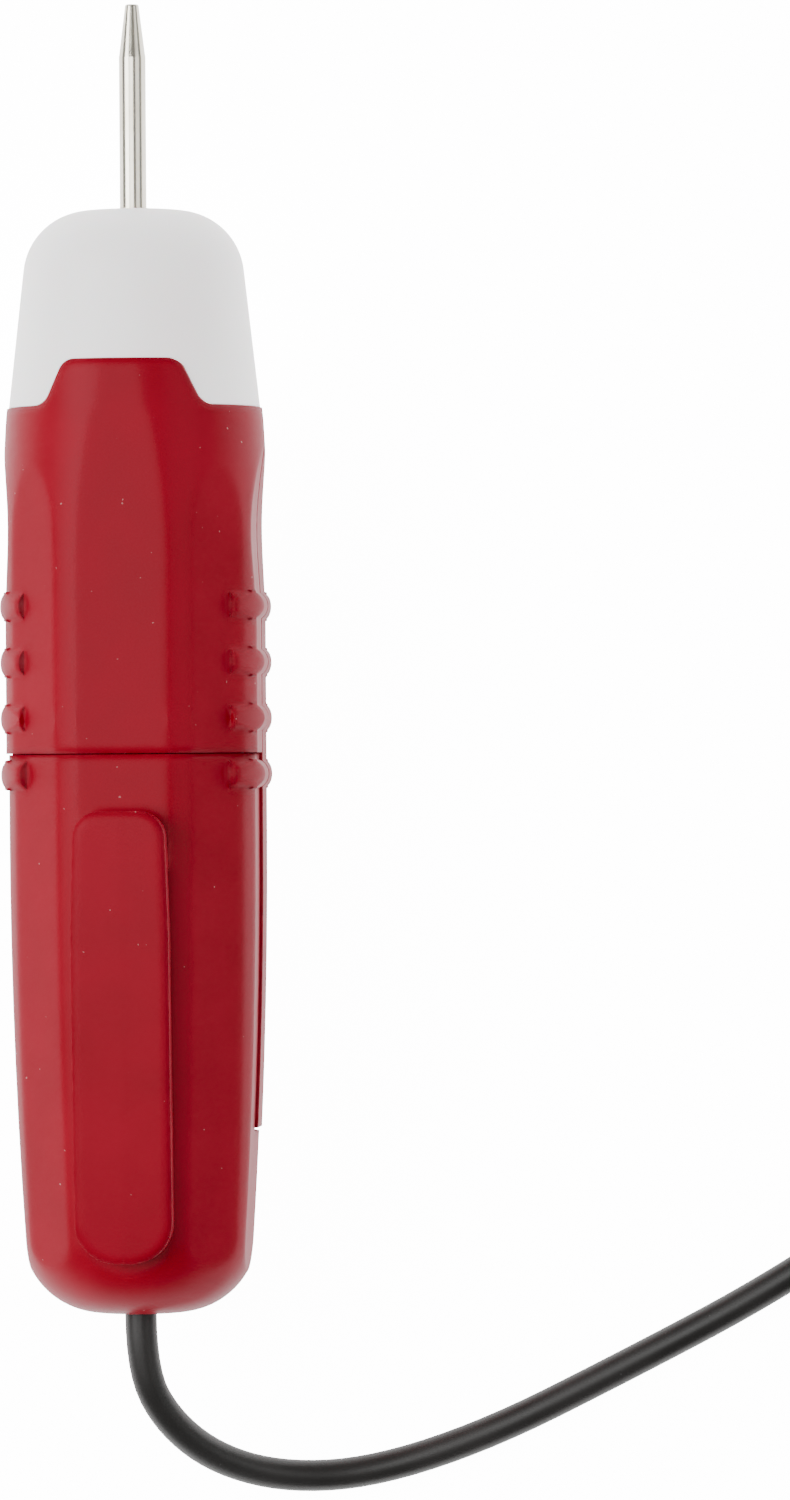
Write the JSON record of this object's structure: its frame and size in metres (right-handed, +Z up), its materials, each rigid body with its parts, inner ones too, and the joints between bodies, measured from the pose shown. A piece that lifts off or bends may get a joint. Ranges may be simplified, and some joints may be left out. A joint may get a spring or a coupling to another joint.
{
  "type": "continuity tester",
  "caption": "Battery continuity tester: red faceted handle with a pocket clip, frosted glowing nose, bare probe, and a thin black test lead with a croc clip.",
  "frame": {"origin": "under the middle of the tester's length, on the surface that its flat back lies on", "axes": "+Y along the handle towards the probe's tip, +Z up through the pocket clip, X across the handle"},
  "size_m": [0.0981, 0.1174, 0.0221],
  "materials": {
    "red_plastic": "fine moulded satin",
    "frosted_plastic": "frosted translucent white",
    "nickel_plate": "nickel plated, polished",
    "brass": "machined",
    "board_laminate": "solder mask",
    "red_epoxy": "clear red epoxy",
    "tinned_metal": "tinned",
    "black_epoxy": "moulded epoxy",
    "ferrite": "sintered ferrite",
    "tan_ceramic": "fired ceramic",
    "spring_steel": "nickel plated spring steel",
    "cell_steel": "plated can",
    "cell_print": "printed sleeve",
    "cell_seal": "insulating ring",
    "lead_insulation": "semi-gloss insulation",
    "tie_plastic": "ribbed strap",
    "croc_steel": "nickel plated sheet",
    "boot_vinyl": "dipped vinyl"
  },
  "bodies": {
    "handle": {"handle_front": "red_plastic", "handle_back": "red_plastic", "lens": "frosted_plastic", "probe": "nickel_plate", "probe_socket": "brass", "circuit_board": "board_laminate", "led_body": "red_epoxy", "led_legs": "tinned_metal", "driver_chip": "black_epoxy", "chip_legs": "tinned_metal", "boost_coil": "ferrite", "board_capacitor": "tan_ceramic", "positive_contact": "spring_steel", "cell_can": "cell_steel", "cell_jacket": "cell_print", "cell_ring": "cell_seal", "cell_pip": "cell_steel"},
    "cover": {"tail_cover": "red_plastic", "spring_plate": "spring_steel", "negative_spring": "spring_steel", "lead_core": "tinned_metal", "lead_solder": "tinned_metal", "lead_inside": "lead_insulation", "lead_clamp": "brass", "lead_tube": "lead_insulation", "lead_coil": "lead_insulation", "lead_end": "lead_insulation", "coil_tie": "tie_plastic", "croc_jaw_fixed": "croc_steel", "croc_pivot": "croc_steel", "croc_spring": "spring_steel", "croc_boot": "boot_vinyl"},
    "clip": {"pocket_clip": "red_plastic"},
    "croc_jaw": {"croc_jaw_moving": "croc_steel"}
  },
  "joints": [
    {"name": "cover_slide", "type": "slide", "parent": "handle", "child": "cover", "axis": [0, -1, 0], "range_m": [0, 0.045]},
    {"name": "clip_flex", "type": "hinge", "parent": "cover", "child": "clip", "pos_m": [0, -0.0157, 0.0213], "axis": [-1, 0, 0], "range_deg": [0, 7], "stiffness_Nm_per_rad": 1.2},
    {"name": "croc_open", "type": "hinge", "parent": "cover", "child": "croc_jaw", "pos_m": [0.08417, 0.01137, 0.0026], "axis": [0, 0, 1], "range_deg": [0, 25], "stiffness_Nm_per_rad": 0.08, "springref_deg": -17.19}
  ]
}
